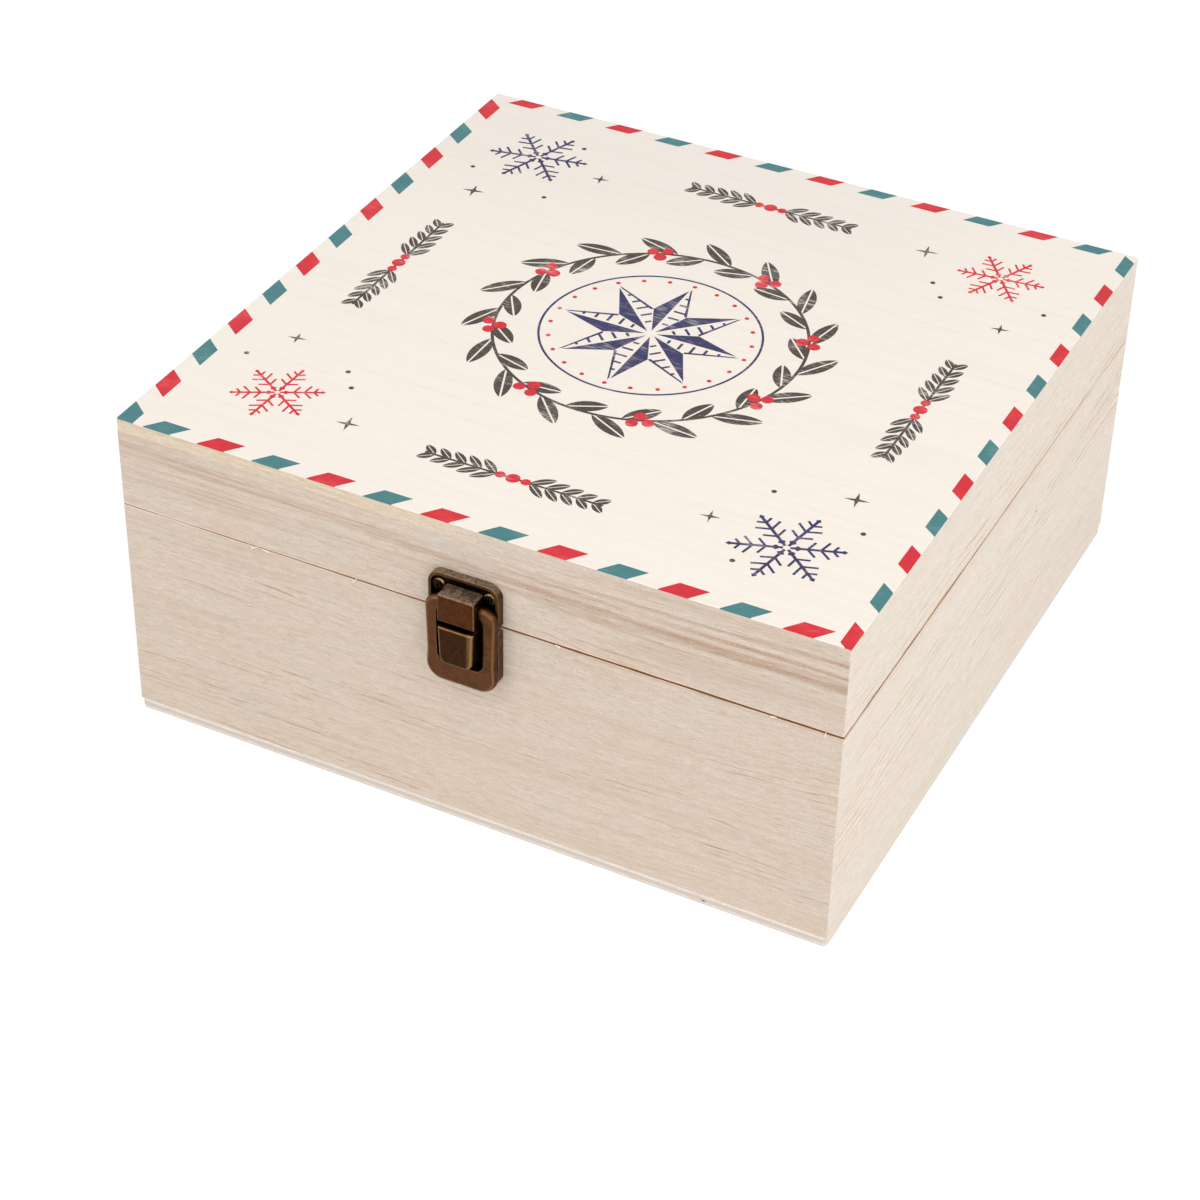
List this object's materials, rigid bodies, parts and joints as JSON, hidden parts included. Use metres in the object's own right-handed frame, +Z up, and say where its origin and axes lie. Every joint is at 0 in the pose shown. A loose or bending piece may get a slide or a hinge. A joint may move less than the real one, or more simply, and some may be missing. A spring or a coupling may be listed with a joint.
{
  "type": "keepsake box",
  "caption": "Square pale wooden keepsake box with mitred walls, a hinged lid with a striped printed top, and a bronze swing-bail clasp at the front.",
  "frame": {"origin": "middle of the underside of the plywood bottom, on the surface the box stands on", "axes": "+Z up, the front with the clasp faces -Y, +X to the right seen from the front"},
  "size_m": [0.26, 0.2727, 0.12],
  "materials": {
    "pale_wood": "sanded bare paulownia",
    "printed_top": "white wash, printed",
    "plywood": "sanded plywood",
    "copper_bronze": "antique bronze",
    "worn_bronze": "rubbed antique bronze",
    "dark_bronze": "dark antique bronze"
  },
  "bodies": {
    "base": {"bottom_panel": "plywood", "base_front_wall": "pale_wood", "base_back_wall": "pale_wood", "base_left_wall": "pale_wood", "base_right_wall": "pale_wood", "clasp_base_plate": "worn_bronze", "clasp_keeper": "worn_bronze", "clasp_base_screws": "dark_bronze", "left_hinge_base_leaf": "worn_bronze", "right_hinge_base_leaf": "worn_bronze", "left_hinge_pin": "dark_bronze", "right_hinge_pin": "dark_bronze", "hinge_base_screws": "dark_bronze"},
    "lid": {"lid_top_panel": "printed_top", "lid_front_wall": "pale_wood", "lid_back_wall": "pale_wood", "lid_left_wall": "pale_wood", "lid_right_wall": "pale_wood", "clasp_lid_plate": "worn_bronze", "clasp_bracket": "copper_bronze", "clasp_lid_screws": "dark_bronze", "left_hinge_lid_leaf": "worn_bronze", "right_hinge_lid_leaf": "worn_bronze", "hinge_lid_screws": "dark_bronze"},
    "bail": {"clasp_bail": "copper_bronze"}
  },
  "joints": [
    {"name": "lid_hinge", "type": "hinge", "parent": "base", "child": "lid", "pos_m": [0, 0.1321, 0.0862], "axis": [-1, 0, 0], "range_deg": [0, 105]},
    {"name": "bail_swing", "type": "hinge", "parent": "lid", "child": "bail", "pos_m": [0.0005, -0.1345, 0.0927], "axis": [-1, 0, 0], "range_deg": [0, 170]}
  ]
}
